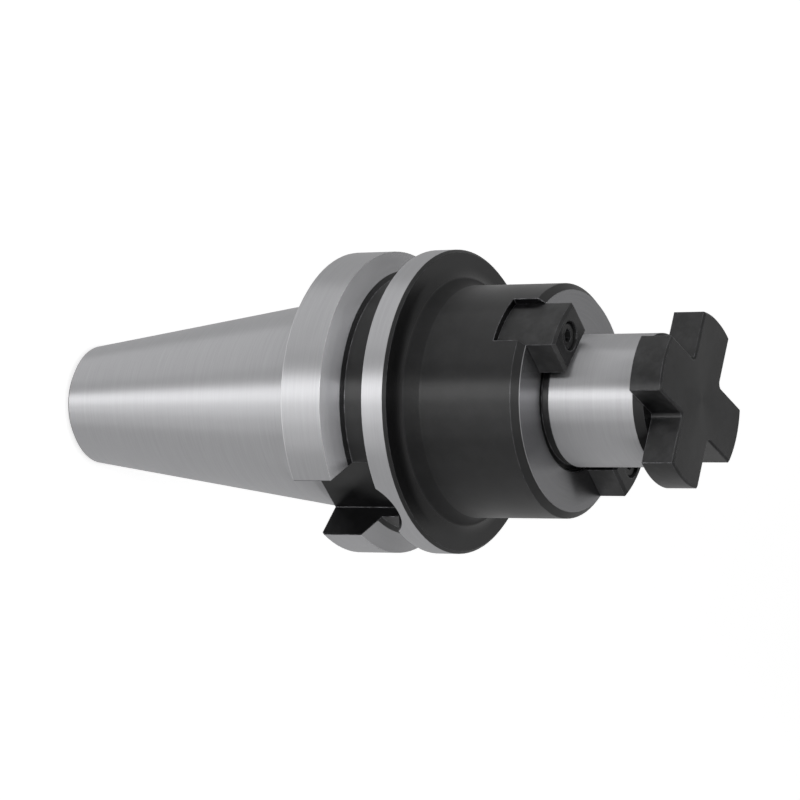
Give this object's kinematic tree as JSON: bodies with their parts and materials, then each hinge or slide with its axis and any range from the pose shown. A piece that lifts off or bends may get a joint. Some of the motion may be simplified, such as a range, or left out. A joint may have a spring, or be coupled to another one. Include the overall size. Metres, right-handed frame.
{
  "type": "shell mill holder",
  "caption": "Shell mill holder: 7/24 taper shank with V-grooved flange and drive slots, stepped pilot with face keys, and a cross-headed screw that clamps the cutter.",
  "frame": {"origin": "middle of the gauge plane, where the taper measures 44.45 mm across", "axes": "+Z along the tool axis from the taper to the pilot; +X through one drive slot of the flange; +Y through one drive key"},
  "size_m": [0.063, 0.063, 0.1474],
  "materials": {
    "ground_steel": "ground, with black oxide in the groove, on the boss and on the flange's front",
    "blackened_steel": "hardened, black oxide",
    "blackened_screw": "turned and milled, black oxide"
  },
  "bodies": {
    "holder": {"holder_body": "ground_steel", "drive_key_a": "blackened_steel", "drive_key_b": "blackened_steel", "key_screw_a": "blackened_screw", "key_screw_b": "blackened_screw"},
    "screw": {"retaining_screw": "blackened_screw"}
  },
  "joints": [
    {"name": "retaining_screw_travel", "type": "slide", "parent": "holder", "child": "screw", "axis": [0, 0, 1], "range_m": [0, 0.06]}
  ]
}
